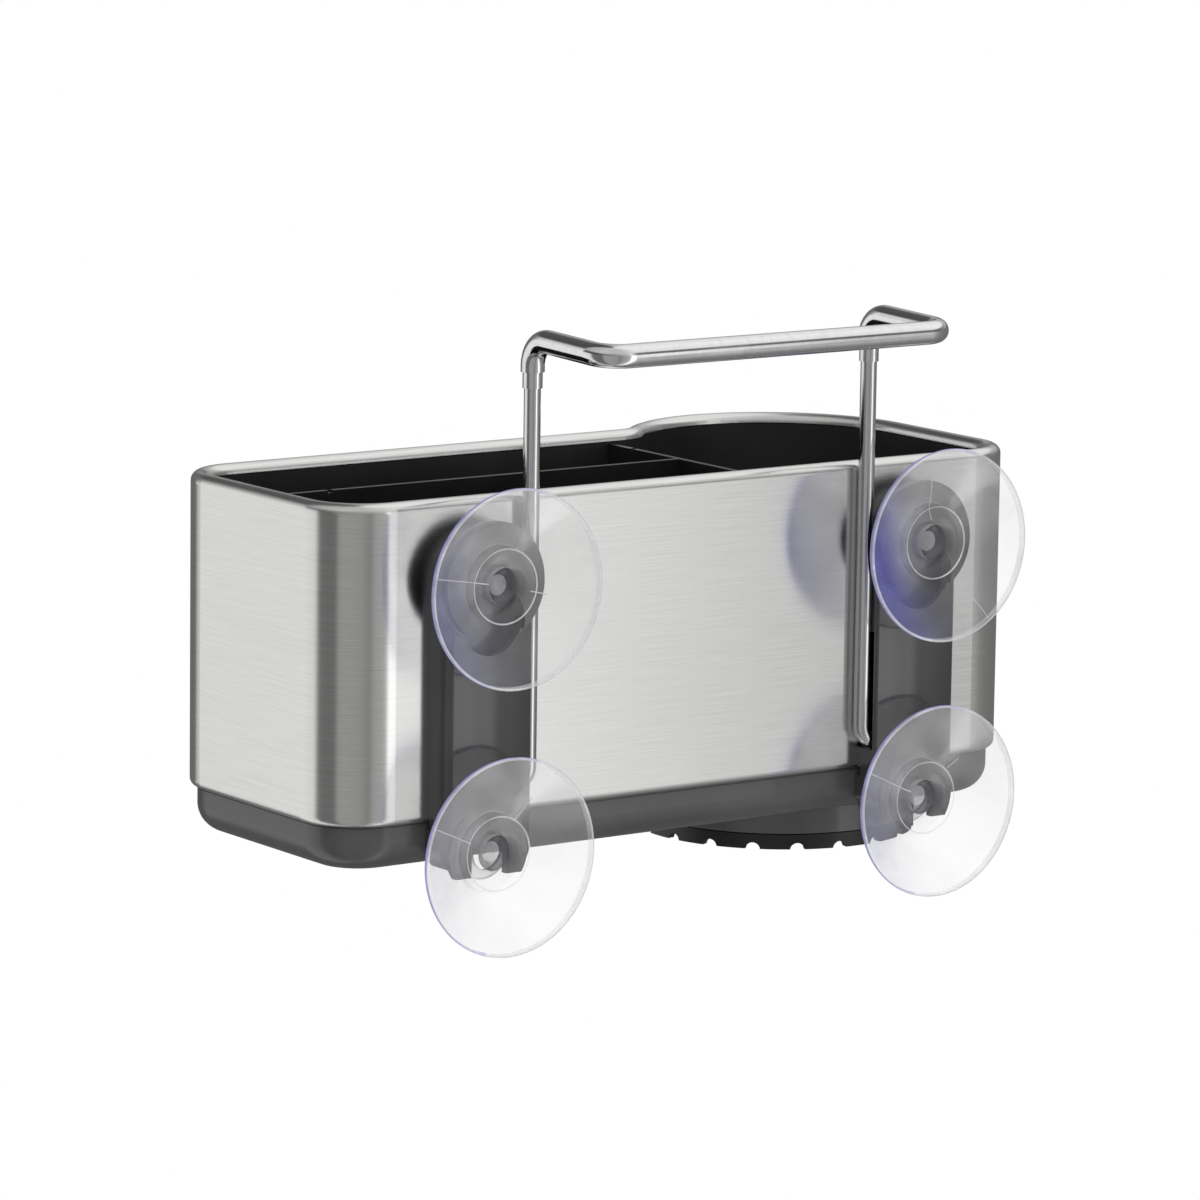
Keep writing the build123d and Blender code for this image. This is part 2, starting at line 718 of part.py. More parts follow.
with BuildPart() as base_screws:
    with BuildSketch(Plane.XY.offset(base_seat_z - screw_head_height)):
        with Locations(*base_screw_places()):
            Circle(screw_head_radius)
    extrude(amount=screw_head_height)
    with BuildSketch(Plane.XY.offset(base_seat_z - screw_head_height / 2)):
        with Locations(*base_screw_places()):
            Circle(screw_radius)
    extrude(amount=base_screw_length + screw_head_height / 2)
    with BuildSketch(Plane.XY.offset(base_seat_z - screw_head_height - over)):
        with Locations(*base_screw_places()):
            Rectangle(2 * screw_radius, drive_width)
            Rectangle(drive_width, 2 * screw_radius)
    extrude(amount=drive_depth + over, mode=Mode.SUBTRACT)
base_screws.part.label = "base_screws"
export_step(base_screws.part, "parts/base_screws.step")

# Hanger: one bent wire with turned toes, and a clear sleeve over its upper part
toe_tip_x = leg_x + toe_length
hanger_points = [
    (toe_tip_x, leg_y, toe_z),
    (leg_x, leg_y, toe_z),
    (leg_x, leg_y, arm_z),
    (leg_x, bar_y, bar_z),
    (-leg_x, bar_y, bar_z),
    (-leg_x, leg_y, arm_z),
    (-leg_x, leg_y, toe_z),
    (-toe_tip_x, leg_y, toe_z),
]
hanger_radii = [toe_bend_radius] + [bend_radius] * 4 + [toe_bend_radius]
cuff_bottom = shell_bottom + sleeve_cuff_bottom
cuff_top = cuff_bottom + sleeve_cuff_length
sleeve_points = [(leg_x, leg_y, cuff_top)] + hanger_points[2:6] + [(-leg_x, leg_y, cuff_top)]
with BuildPart() as hanger_wire:
    with BuildLine() as wire_path:
        add(bent_line(hanger_points, hanger_radii))
    with BuildSketch(Plane(origin=hanger_points[0], z_dir=(-1, 0, 0))):
        Circle(wire_radius)
    sweep(path=wire_path.wire())
hanger_wire.part.label = "hanger_wire"
export_step(hanger_wire.part, "parts/hanger_wire.step")

with BuildPart() as hanger_sleeve:
    with BuildLine() as sleeve_path:
        add(bent_line(sleeve_points, [bend_radius] * 4))
    with BuildSketch(Plane.XY.offset(cuff_top)):
        with Locations((leg_x, leg_y)):
            Circle(sleeve_diameter / 2)
            Circle(wire_radius + sleeve_bore_gap, mode=Mode.SUBTRACT)
    sweep(path=sleeve_path.wire())
    with BuildSketch(Plane.XY.offset(cuff_bottom)):
        with Locations((leg_x, leg_y), (-leg_x, leg_y)):
            Circle(sleeve_cuff_diameter / 2)
            Circle(wire_radius + sleeve_bore_gap, mode=Mode.SUBTRACT)
    extrude(amount=sleeve_cuff_length)
hanger_sleeve.part.label = "hanger_sleeve"
export_step(hanger_sleeve.part, "parts/hanger_sleeve.step")

# Suction cup, turned about its own axis
cup_hub_back = head_front + hub_gap
knob_front = plate_back - knob_gap
dish_middle = (cup_radius + dish_floor_radius) / 2
with BuildPart() as cup_shape:
    with BuildSketch(Plane.XY):
        with BuildLine():
            Line((core_mouth_radius, -dish_depth), (dish_floor_radius, -dish_depth))
            ThreePointArc(
                (dish_floor_radius, -dish_depth),
                (dish_middle, -dish_depth / 2 + dish_sag),
                (cup_radius - cup_land, 0),
            )
            Polyline(
                (cup_radius - cup_land, 0),
                (cup_radius, 0),
                (cup_radius, -cup_edge),
            )
            Spline(
                (cup_radius, -cup_edge),
                *cup_back_shares((cup_radius, cup_hub_back)),
                (hub_radius, cup_hub_back),
            )
            Polyline(
                (hub_radius, cup_hub_back),
                (neck_radius, cup_hub_back),
                (neck_radius, knob_front),
                (knob_radius, knob_front),
                (knob_radius, knob_front - knob_thickness),
                (0, knob_front - knob_thickness),
                (0, -dish_depth - core_depth),
                (core_foot_radius, -dish_depth - core_depth),
                (core_mouth_radius, -dish_depth),
            )
        make_face()
    revolve(axis=Axis.Y)

# The lower cups sit further back, by as much as the head stands out from the bar
lower_cup_y = bar_front - head_front

with BuildPart() as cup_channel_upper:
    with Locations((cup_x, 0, cup_z)):
        add(cup_shape.part)
cup_channel_upper.part.label = "cup_channel_upper"
export_step(cup_channel_upper.part, "parts/cup_channel_upper.step")

with BuildPart() as cup_channel_lower:
    with Locations((cup_x, lower_cup_y, -cup_z)):
        add(cup_shape.part)
cup_channel_lower.part.label = "cup_channel_lower"
export_step(cup_channel_lower.part, "parts/cup_channel_lower.step")

with BuildPart() as cup_well_upper:
    with Locations((-cup_x, 0, cup_z)):
        add(cup_shape.part)
cup_well_upper.part.label = "cup_well_upper"
export_step(cup_well_upper.part, "parts/cup_well_upper.step")

with BuildPart() as cup_well_lower:
    with Locations((-cup_x, lower_cup_y, -cup_z)):
        add(cup_shape.part)
cup_well_lower.part.label = "cup_well_lower"
export_step(cup_well_lower.part, "parts/cup_well_lower.step")
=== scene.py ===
"""Look of the kitchen sink caddy: materials, clear cups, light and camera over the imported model."""

import math

import bmesh
import bpy
from mathutils import Matrix, Vector


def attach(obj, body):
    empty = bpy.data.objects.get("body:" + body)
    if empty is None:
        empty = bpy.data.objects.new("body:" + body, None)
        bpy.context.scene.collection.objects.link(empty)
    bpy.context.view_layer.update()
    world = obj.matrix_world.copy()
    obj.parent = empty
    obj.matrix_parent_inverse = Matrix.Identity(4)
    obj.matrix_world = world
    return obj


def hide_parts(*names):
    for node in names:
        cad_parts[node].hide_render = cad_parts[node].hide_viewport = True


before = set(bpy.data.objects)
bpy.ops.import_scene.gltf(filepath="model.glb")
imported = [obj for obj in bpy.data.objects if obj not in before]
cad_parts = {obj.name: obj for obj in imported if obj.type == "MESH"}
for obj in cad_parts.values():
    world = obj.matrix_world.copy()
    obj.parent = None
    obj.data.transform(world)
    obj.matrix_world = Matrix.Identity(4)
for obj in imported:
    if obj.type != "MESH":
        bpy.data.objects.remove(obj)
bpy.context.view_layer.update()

# One millimetre, in metres
MM = 0.001

# Sockets of a Mix node that mixes colours
MIX_FACTOR, MIX_FIRST, MIX_SECOND, MIX_RESULT = 0, 6, 7, 2


def add_object(name, data):
    """A new object in the scene, at the origin."""
    obj = bpy.data.objects.new(name, data)
    bpy.context.scene.collection.objects.link(obj)
    return obj


# Materials
def new_material(name, colour, roughness, metallic=0.0):
    mat = bpy.data.materials.new(name)
    mat.use_nodes = True
    shader = mat.node_tree.nodes["Principled BSDF"]
    shader.inputs["Base Color"].default_value = (*colour, 1.0)
    shader.inputs["Roughness"].default_value = roughness
    shader.inputs["Metallic"].default_value = metallic
    return mat, mat.node_tree.nodes, mat.node_tree.links, shader


def noise(nodes, links, per_metre, detail=3.0, rough=0.55):
    """Noise in object coordinates, with its own scale along each axis."""
    coords = nodes.new("ShaderNodeTexCoord")
    mapping = nodes.new("ShaderNodeMapping")
    mapping.inputs["Scale"].default_value = per_metre
    texture = nodes.new("ShaderNodeTexNoise")
    texture.inputs["Scale"].default_value = 1.0
    texture.inputs["Detail"].default_value = detail
    texture.inputs["Roughness"].default_value = rough
    links.new(coords.outputs["Object"], mapping.inputs["Vector"])
    links.new(mapping.outputs["Vector"], texture.inputs["Vector"])
    return texture.outputs["Fac"]


def spread(nodes, links, source, low, high, start=0.3, end=0.7):
    """The source's values from start to end, spread over low to high."""
    node = nodes.new("ShaderNodeMapRange")
    node.inputs["From Min"].default_value = start
    node.inputs["From Max"].default_value = end
    node.inputs["To Min"].default_value = low
    node.inputs["To Max"].default_value = high
    links.new(source, node.inputs["Value"])
    return node.outputs["Result"]


def calculated(nodes, links, operation, first, second, clamp=False):
    """Result of one operation on two sockets."""
    node = nodes.new("ShaderNodeMath")
    node.operation = operation
    node.use_clamp = clamp
    links.new(first, node.inputs[0])
    links.new(second, node.inputs[1])
    return node.outputs[0]


def mixed_colour(nodes, links, factor, first, second):
    node = nodes.new("ShaderNodeMix")
    node.data_type = "RGBA"
    node.inputs[MIX_FIRST].default_value = (*first, 1.0)
    node.inputs[MIX_SECOND].default_value = (*second, 1.0)
    links.new(factor, node.inputs[MIX_FACTOR])
    return node.outputs[MIX_RESULT]


def bump(nodes, links, shader, height, strength, distance):
    node = nodes.new("ShaderNodeBump")
    node.inputs["Strength"].default_value = strength
    node.inputs["Distance"].default_value = distance
    links.new(height, node.inputs["Height"])
    links.new(node.outputs["Normal"], shader.inputs["Normal"])


def brushed_steel(name):
    """Steel brushed along the wall: long level streaks, and highlights drawn out upright."""
    streak_grain, line_grain, cloud_grain = (45, 45, 2700), (90, 90, 5200), (14, 14, 20)
    dark, light = (0.750, 0.750, 0.748), (0.850, 0.850, 0.848)
    mat, nodes, links, shader = new_material(name, (0.80, 0.80, 0.785), roughness=0.24, metallic=1.0)
    streaks = noise(nodes, links, streak_grain, detail=4, rough=0.6)
    fine = noise(nodes, links, line_grain, detail=2, rough=0.5)
    clouds = noise(nodes, links, cloud_grain, detail=2)
    streak_colour = mixed_colour(nodes, links, spread(nodes, links, streaks, 0, 1), dark, light)
    links.new(streak_colour, shader.inputs["Base Color"])
    roughness = calculated(
        nodes, links, "ADD",
        spread(nodes, links, streaks, 0.215, 0.245),
        spread(nodes, links, clouds, -0.01, 0.02),
    )
    links.new(roughness, shader.inputs["Roughness"])
    shader.inputs["Anisotropic"].default_value = 0.8
    shader.inputs["Anisotropic Rotation"].default_value = 0.25
    tangent = nodes.new("ShaderNodeTangent")
    tangent.direction_type = "RADIAL"
    tangent.axis = "Z"
    links.new(tangent.outputs["Tangent"], shader.inputs["Tangent"])
    bump(nodes, links, shader, fine, strength=0.03, distance=0.0001)
    return mat


def polished_steel(name, roughness=0.09):
    mark_grain = (60, 60, 400)
    mat, nodes, links, shader = new_material(name, (0.78, 0.78, 0.78), roughness, metallic=1.0)
    marks = noise(nodes, links, mark_grain, detail=3)
    links.new(spread(nodes, links, marks, roughness * 0.7, roughness * 1.6), shader.inputs["Roughness"])
    return mat


def satin_plastic(name, colour, roughness, grain=0.06, wear=0.15, coat=0.0):
    """Moulded plastic: a fine grain, cloudy gloss and slightly uneven colour."""
    cloud_grain, skin_grain = (30, 30, 30), (2600, 2600, 2600)
    mat, nodes, links, shader = new_material(name, colour, roughness)
    shader.inputs["Coat Weight"].default_value = coat
    shader.inputs["Coat Roughness"].default_value = 0.05
    shader.inputs["Coat IOR"].default_value = 1.6
    clouds = noise(nodes, links, cloud_grain, detail=4)
    fine = noise(nodes, links, skin_grain, detail=2)
    light = tuple(min(1.0, part * (1 + wear)) for part in colour)
    dark = tuple(part * (1 - wear) for part in colour)
    uneven_colour = mixed_colour(nodes, links, spread(nodes, links, clouds, 0, 1), dark, light)
    links.new(uneven_colour, shader.inputs["Base Color"])
    uneven_gloss = spread(nodes, links, clouds, roughness * 0.86, roughness * 1.14)
    links.new(uneven_gloss, shader.inputs["Roughness"])
    bump(nodes, links, shader, fine, strength=grain, distance=0.0002)
    return mat


def sleeved_steel(name):
    """Polished wire seen through a thick clear coat, which makes it look as wide as the coat."""
    cloud_grain, scuff_grain, ripple_grain = (70, 70, 70), (420, 420, 420), (220, 220, 220)
    clean, scuffed = (0.84, 0.84, 0.85), (0.76, 0.76, 0.77)
    mat, nodes, links, shader = new_material(name, (0.66, 0.66, 0.67), roughness=0.13, metallic=1.0)
    clouds = noise(nodes, links, cloud_grain, detail=3)
    scuffs = spread(nodes, links, noise(nodes, links, scuff_grain, detail=4), 0, 1, start=0.45, end=0.75)
    links.new(mixed_colour(nodes, links, scuffs, clean, scuffed), shader.inputs["Base Color"])
    links.new(spread(nodes, links, clouds, 0.08, 0.19), shader.inputs["Roughness"])
    shader.inputs["Coat Weight"].default_value = 1.0
    shader.inputs["Coat Roughness"].default_value = 0.06
    ripples = noise(nodes, links, ripple_grain, detail=2)
    bump(nodes, links, shader, ripples, strength=0.03, distance=0.0004)
    return mat


def clear_skin(name, colour, gain, floor, roughness, metallic=0.3, cast=None):
    """One face of a clear moulding: see-through, less so the more it slants away, from floor to floor + gain.

    Where a cast colour is given, the piece's own attribute "cast" holds how far a place leans to that
    colour, in its red, and how hazy the place is, in its green: a painted violet tint and a painted sheen.
    """
    cloud_grain, ripple_grain = (110, 110, 110), (260, 260, 260)
    mat, nodes, links, shader = new_material(name, colour, roughness, metallic)
    clouds = noise(nodes, links, cloud_grain, detail=3)
    links.new(spread(nodes, links, clouds, roughness * 0.7, roughness * 1.4), shader.inputs["Roughness"])
    slant = nodes.new("ShaderNodeLayerWeight")
    slant.inputs["Blend"].default_value = 0.5
    steep = nodes.new("ShaderNodeMath")
    steep.operation = "POWER"
    steep.inputs[1].default_value = 3.0
    links.new(slant.outputs["Facing"], steep.inputs[0])
    cover = nodes.new("ShaderNodeMath")
    cover.operation = "MULTIPLY_ADD"
    cover.use_clamp = True
    cover.inputs[1].default_value = gain
    cover.inputs[2].default_value = floor
    links.new(steep.outputs[0], cover.inputs[0])
    haze_and_sheen_cover = spread(nodes, links, clouds, 0.72, 1.28)
    # Painted light: the attribute adds a painted violet tint and a painted sheen, milkier above, to the haze
    # that varies at random
    if cast:
        own = nodes.new("ShaderNodeAttribute")
        own.attribute_name = "cast"
        own_parts = nodes.new("ShaderNodeSeparateColor")
        links.new(own.outputs["Color"], own_parts.inputs[0])
        leaning = mixed_colour(nodes, links, own_parts.outputs["Red"], colour, cast)
        links.new(leaning, shader.inputs["Base Color"])
        haze_and_sheen_cover = calculated(nodes, links, "MULTIPLY", own_parts.outputs["Green"], haze_and_sheen_cover)
    opaque = calculated(nodes, links, "MULTIPLY", cover.outputs[0], haze_and_sheen_cover, clamp=True)
    links.new(opaque, shader.inputs["Alpha"])
    ripples = noise(nodes, links, ripple_grain, detail=2)
    bump(nodes, links, shader, ripples, strength=0.10, distance=0.0003)
    return mat


shell_steel = brushed_steel("shell_brushed_steel")
wire_steel = polished_steel("wire_polished_steel")
screw_steel = polished_steel("screw_steel", roughness=0.28)
base_grey = satin_plastic(
    "base_grey_plastic", (0.075, 0.075, 0.077), roughness=0.33, grain=0.04, coat=0.4,
)
bracket_grey = satin_plastic(
    "bracket_grey_plastic", (0.038, 0.038, 0.040), roughness=0.30, grain=0.02, coat=0.8,
)
liner_black = satin_plastic("liner_black_plastic", (0.024, 0.024, 0.025), roughness=0.34)
divider_black = satin_plastic("divider_black_plastic", (0.016, 0.016, 0.017), roughness=0.24)
dial_black = satin_plastic("dial_black_plastic", (0.010, 0.010, 0.010), roughness=0.36)
seal_black = satin_plastic("seal_rubber", (0.02, 0.02, 0.02), roughness=0.7)
sleeve_look = sleeved_steel("sleeve_over_wire")

LOOKS = {
    "steel_shell": shell_steel,
    "inner_liner": liner_black,
    "base_tray": base_grey,
    "bracket_channel_end": bracket_grey,
    "bracket_well_end": bracket_grey,
    "bracket_screws": screw_steel,
    "base_screws": screw_steel,
    "hanger_wire": wire_steel,
    "hanger_sleeve": sleeve_look,
    "cross_divider": divider_black,
    "long_divider": divider_black,
    "drain_dial": dial_black,
    "drain_seal": seal_black,
    "drain_clip": screw_steel,
}
for node_name, look in LOOKS.items():
    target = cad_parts[node_name]
    if not target.material_slots:
        target.data.materials.append(look)
    for slot in target.material_slots:
        slot.material = look

CUP_LOOKS = {
    "core_floor": clear_skin(
        "cup_core_floor", (0.46, 0.46, 0.48), gain=0.8, floor=0.70, roughness=0.30, metallic=0.2,
    ),
    # Painted shade: the core's sloping wall is dark and nearly opaque, standing in for the dark ring that
    # refraction shows there
    "core_wall": clear_skin("cup_core_wall", (0.17, 0.17, 0.19), gain=0.8, floor=0.72, roughness=0.20),
    "clear": clear_skin(
        "cup_clear_plastic", (0.95, 0.95, 0.97), gain=1.2, floor=0.20, roughness=0.12, metallic=0.35,
        cast=(0.30, 0.30, 0.85),
    ),
    # Painted highlights: the lips and the rim's edge are whiter and less see-through than the dish, standing
    # in for light caught on the rounded rim and crease
    "lip": clear_skin(
        "cup_rim_lip", (0.95, 0.95, 0.99), gain=0.8, floor=0.60, roughness=0.22, metallic=0.15,
    ),
    "edge": clear_skin(
        "cup_rim_edge", (0.95, 0.95, 0.98), gain=0.6, floor=0.40, roughness=0.25, metallic=0.15,
    ),
    # Partly the plastic's tint, partly painted light: the rim's edge is violet on one arc only
    "violet": clear_skin(
        "cup_rim_violet", (0.50, 0.49, 0.98), gain=0.4, floor=0.80, roughness=0.30, metallic=0.0,
    ),
    "hub": clear_skin("cup_hub", (0.55, 0.55, 0.58), gain=0.7, floor=0.13, roughness=0.14),
}


# Suction cups
def arc_points(first, middle, last, steps):
    """Points on the circle through three points, from the first to the last."""
    (ax, ay), (bx, by), (cx, cy) = first, middle, last
    four_areas = 2 * (ax * (by - cy) + bx * (cy - ay) + cx * (ay - by))
    a_square, b_square, c_square = ax * ax + ay * ay, bx * bx + by * by, cx * cx + cy * cy
    centre_x = (a_square * (by - cy) + b_square * (cy - ay) + c_square * (ay - by)) / four_areas
    centre_y = (a_square * (cx - bx) + b_square * (ax - cx) + c_square * (bx - ax)) / four_areas
    radius = math.hypot(ax - centre_x, ay - centre_y)
    start = math.atan2(ay - centre_y, ax - centre_x)
    end = math.atan2(cy - centre_y, cx - centre_x)
    sweep = (end - start + math.pi) % (2 * math.pi) - math.pi
    angles = [start + sweep * step / steps for step in range(steps + 1)]
    return [
        (centre_x + radius * math.cos(angle), centre_y + radius * math.sin(angle)) for angle in angles
    ]


def smooth_points(points, steps):
    """Catmull-Rom curve through the points, with that many steps between two of them."""
    ends = [points[0]] + list(points) + [points[-1]]
    result = [points[0]]
    for quad in zip(ends, ends[1:], ends[2:], ends[3:]):
        for step in range(1, steps + 1):
            t = step / steps
            result.append(tuple(
                0.5 * (
                    2 * b + (c - a) * t
                    + (2 * a - 5 * b + 4 * c - d) * t * t
                    + (3 * b - a - 3 * c + d) * t ** 3
                )
                for a, b, c, d in zip(*quad)
            ))
    return result


# Half section of a cup as radius and depth behind its rim, in millimetres, run by run from the core
# round the rim to the knob
CUP_DISH = arc_points((10.4, -6.5), (19.2, -2.65), (27.3, 0.0), steps=18)
CORE_WALL = smooth_points([(2.9, -10.4), (3.4, -10.1), (4.5, -9.6), (5.2, -8.7)], steps=4)
CUP_BACK = smooth_points(
    [(27.2, -2.05), (22.4, -3.42), (17.36, -5.24), (13.44, -7.17), (11.62, -8.88), (11.0, -10.7)],
    steps=7,
)
CUP_RUNS = [
    ("core_floor", [(0.0, -10.2), (1.4, -10.32), (2.9, -10.4)]),
    ("core_wall", CORE_WALL),
    ("clear", [(5.2, -8.7), (5.25, -6.7), (5.5, -6.5), (8.0, -6.5), (10.2, -6.5)]),
    # The lip and edge runs carry the painted highlight of the rim and crease
    ("lip", [(10.2, -6.5), (10.4, -6.42), (10.65, -6.36)]),
    ("clear", [(10.65, -6.36)] + CUP_DISH[1:]),
    ("lip", [(27.3, 0.0), (27.75, -0.03), (27.95, -0.2)]),
    ("edge", [(27.95, -0.2), (28.0, -0.5), (28.0, -0.9), (27.8, -1.5), (27.2, -2.05)]),
    ("clear", CUP_BACK),
    ("hub", [
        (11.0, -10.7), (5.5, -10.7), (5.5, -13.8), (8.3, -13.8), (8.5, -14.0), (8.5, -16.0), (8.3, -16.2),
        (0.0, -16.2),
    ]),
]
CUP_SEGMENTS = 120
WELD_DISTANCE = 0.01 * MM

# Part of the rim whose edge is violet, in degrees from +X towards +Z: partly the plastic's tint, partly
# painted light, as it is painted on this arc only
PAINTED_VIOLET_ARC = (-75, 110)
# The painted violet cast grows from its share at the first radius to full at the second, in millimetres
CAST_RADII = (11.0, 25.0)
CAST_AT_CORE = 0.25
# How the painted cast leans towards +X and downwards, and how sharply
CAST_TOWARDS_X, CAST_DOWNWARDS, CAST_POWER = 0.9, 0.45, 1.5
# How strong the painted cast is, and how much less see-through it makes the plastic
CAST_GAIN, PAINTED_TINT_COVER = 1.6, 1.5
# How hazy the plastic is halfway up, how much more so towards the top and towards +X, which is painted
# sheen, and its least and most
HAZE_AND_SHEEN_LEVEL, PAINTED_SHEEN_UPWARDS, PAINTED_SHEEN_TOWARDS_X = 0.66, 0.48, 0.14
HAZE_AND_SHEEN_LEAST, HAZE_AND_SHEEN_MOST = 0.30, 2.2

# Mould lines on the dish, in millimetres: half widths at the foot and on top, how far they rise from
# it and sink into it
SEAM_FOOT, SEAM_TOP = 0.16, 0.07
SEAM_RISE, SEAM_SINK = 0.05, 0.03
SEAM_STEPS = 24


def painted_cup_tint_and_sheen(angle, radius, violet):
    """Value of the cast at a place of a cup: a painted violet tint low at its +X side, and a painted sheen
    that is milkier above and clearer below.
    """
    towards_x, towards_z = math.cos(angle), math.sin(angle)
    inner, outer = CAST_RADII
    outwards = min(1.0, max(0.0, (radius - inner) / (outer - inner)))
    share = CAST_AT_CORE + (1 - CAST_AT_CORE) * outwards
    slope = max(0.0, CAST_TOWARDS_X * towards_x - CAST_DOWNWARDS * towards_z)
    lean = violet * share * slope ** CAST_POWER
    haze_and_sheen = HAZE_AND_SHEEN_LEVEL + PAINTED_SHEEN_UPWARDS * towards_z + PAINTED_SHEEN_TOWARDS_X * towards_x + PAINTED_TINT_COVER * lean
    return (min(1.0, CAST_GAIN * lean), min(HAZE_AND_SHEEN_MOST, max(HAZE_AND_SHEEN_LEAST, haze_and_sheen)), 0.0, 1.0)


def moulded_cup(name, x, y, z, violet):
    """A cup whose section is spun round its own axis, each run of it with its own look."""
    mesh = bpy.data.meshes.new(name)
    for look in CUP_LOOKS.values():
        mesh.materials.append(look)
    looks = list(CUP_LOOKS)
    centre = Vector((x, y, z)) * MM
    bm = bmesh.new()
    for part, run in CUP_RUNS:
        before = set(bm.faces)
        corners = [bm.verts.new(centre + Vector((radius, depth, 0)) * MM) for radius, depth in run]
        outline = [bm.edges.new(pair) for pair in zip(corners, corners[1:])]
        bmesh.ops.spin(
            bm, geom=corners + outline, cent=centre, axis=(0, 1, 0), angle=2 * math.pi,
            steps=CUP_SEGMENTS, use_merge=True,
        )
        for face in set(bm.faces) - before:
            away = face.calc_center_median() - centre
            degrees = math.degrees(math.atan2(away.z, away.x))
            # Painted light: the rim's edge is violet on this arc only
            tint_painted_here = part == "edge" and PAINTED_VIOLET_ARC[0] < degrees < PAINTED_VIOLET_ARC[1]
            face.material_index = looks.index("violet" if tint_painted_here else part)
            face.smooth = True
    bmesh.ops.remove_doubles(bm, verts=bm.verts[:], dist=WELD_DISTANCE)
    bmesh.ops.recalc_face_normals(bm, faces=bm.faces[:])
    bm.to_mesh(mesh)
    bm.free()
    cast = mesh.color_attributes.new("cast", "FLOAT_COLOR", "POINT")
    for vertex, value in zip(mesh.vertices, cast.data):
        away = (vertex.co - centre) / MM
        value.color = painted_cup_tint_and_sheen(math.atan2(away.z, away.x), math.hypot(away.x, away.z), violet)
    return add_object(name, mesh)


def dish_depth(radius):
    """Depth of the dish's front at that radius, in millimetres."""
    front = [(5.5, -6.5), (10.4, -6.5)] + CUP_DISH[1:]
    for (inner, inner_depth), (outer, outer_depth) in zip(front, front[1:]):
        if inner <= radius <= outer:
            depth = inner_depth + (outer_depth - inner_depth) * (radius - inner) / (outer - inner)
    return depth


def mould_seams(name, x, y, z, lines):
    """Fine raised lines where the mould parts: angle from +X towards +Z, inner and outer radius."""
    mesh = bpy.data.meshes.new(name)
    # Painted highlight: the mould lines get the lips' white look
    mesh.materials.append(CUP_LOOKS["lip"])
    rise, sink = Vector((0, SEAM_RISE, 0)), Vector((0, -SEAM_SINK, 0))
    bm = bmesh.new()
    for degrees, inner, outer in lines:
        angle = math.radians(degrees)
        out = Vector((math.cos(angle), 0, math.sin(angle)))
        side = Vector((-math.sin(angle), 0, math.cos(angle)))
        path = []
        for step in range(SEAM_STEPS + 1):
            radius = inner + (outer - inner) * step / SEAM_STEPS
            path.append((Vector((x, y + dish_depth(radius), z)) + out * radius) * MM)
        section = [
            side * SEAM_FOOT + sink, side * SEAM_TOP + rise,
            side * -SEAM_TOP + rise, side * -SEAM_FOOT + sink,
        ]
        start = end = bm.faces.new([bm.verts.new(path[0] + offset * MM) for offset in section])
        for here, after in zip(path, path[1:]):
            grown = bmesh.ops.extrude_face_region(bm, geom=[end])["geom"]
            if end != start:
                bmesh.ops.delete(bm, geom=[end], context="FACES_ONLY")
            end = next(item for item in grown if isinstance(item, bmesh.types.BMFace))
            bmesh.ops.translate(bm, verts=end.verts[:], vec=after - here)
    for face in bm.faces:
        face.smooth = True
    bmesh.ops.recalc_face_normals(bm, faces=bm.faces[:])
    bm.to_mesh(mesh)
    bm.free()
    return add_object(name, mesh)


# Centre of each rim in millimetres, how strongly the violet tint is painted on the cup, and its mould lines
CUPS = {
    "channel_upper": (75, 0, 37.5, 0.35, ((11, 5.6, 27), (193, 8.5, 13.5))),
    "channel_lower": (75, -2, -37.5, 0.12, ((23, 10, 27), (120, 10, 18))),
    "well_upper": (-75, 0, 37.5, 0.80, ((75, 7, 22), (236, 16, 27))),
    "well_lower": (-75, -2, -37.5, 0.25, ((23, 5.6, 27), (133, 11, 15))),
}
for place, (x, y, z, violet, lines) in CUPS.items():
    cup = moulded_cup("clear_cup_" + place, x, y, z, violet)
    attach(cup, "suction_" + place)
    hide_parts("cup_" + place)
    seams = mould_seams("cup_seams_" + place, x, y, z, lines)
    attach(seams, "suction_" + place)


# Floor and light
def white_when_looked_at(nodes, links, lit, white):
    """The lit shader, but the white one where the camera looks at it, straight or through clear pieces."""
    paths = nodes.new("ShaderNodeLightPath")
    looked_at = calculated(
        nodes, links, "MAXIMUM", paths.outputs["Is Camera Ray"], paths.outputs["Is Transmission Ray"],
    )
    choice = nodes.new("ShaderNodeMixShader")
    links.new(looked_at, choice.inputs[0])
    links.new(lit.outputs[0], choice.inputs[1])
    links.new(white.outputs[0], choice.inputs[2])
    return choice.outputs[0]


FLOOR_DROP = 0.30
FLOOR_SIZE = 6.0
floor_mesh = bpy.data.meshes.new("studio_floor")
bm = bmesh.new()
bmesh.ops.create_grid(bm, x_segments=1, y_segments=1, size=FLOOR_SIZE)
bm.to_mesh(floor_mesh)
bm.free()
floor = add_object("studio_floor", floor_mesh)
floor.location = (0, 0, -FLOOR_DROP)
floor.visible_glossy = False
floor_look, nodes, links, floor_paint = new_material("studio_floor", (0.82, 0.82, 0.82), roughness=0.9)
floor_white = nodes.new("ShaderNodeEmission")
floor_white.inputs["Color"].default_value = (1, 1, 1, 1)
floor_white.inputs["Strength"].default_value = 1.0
floor_surface = white_when_looked_at(nodes, links, floor_paint, floor_white)
links.new(floor_surface, nodes["Material Output"].inputs["Surface"])
floor_mesh.materials.append(floor_look)

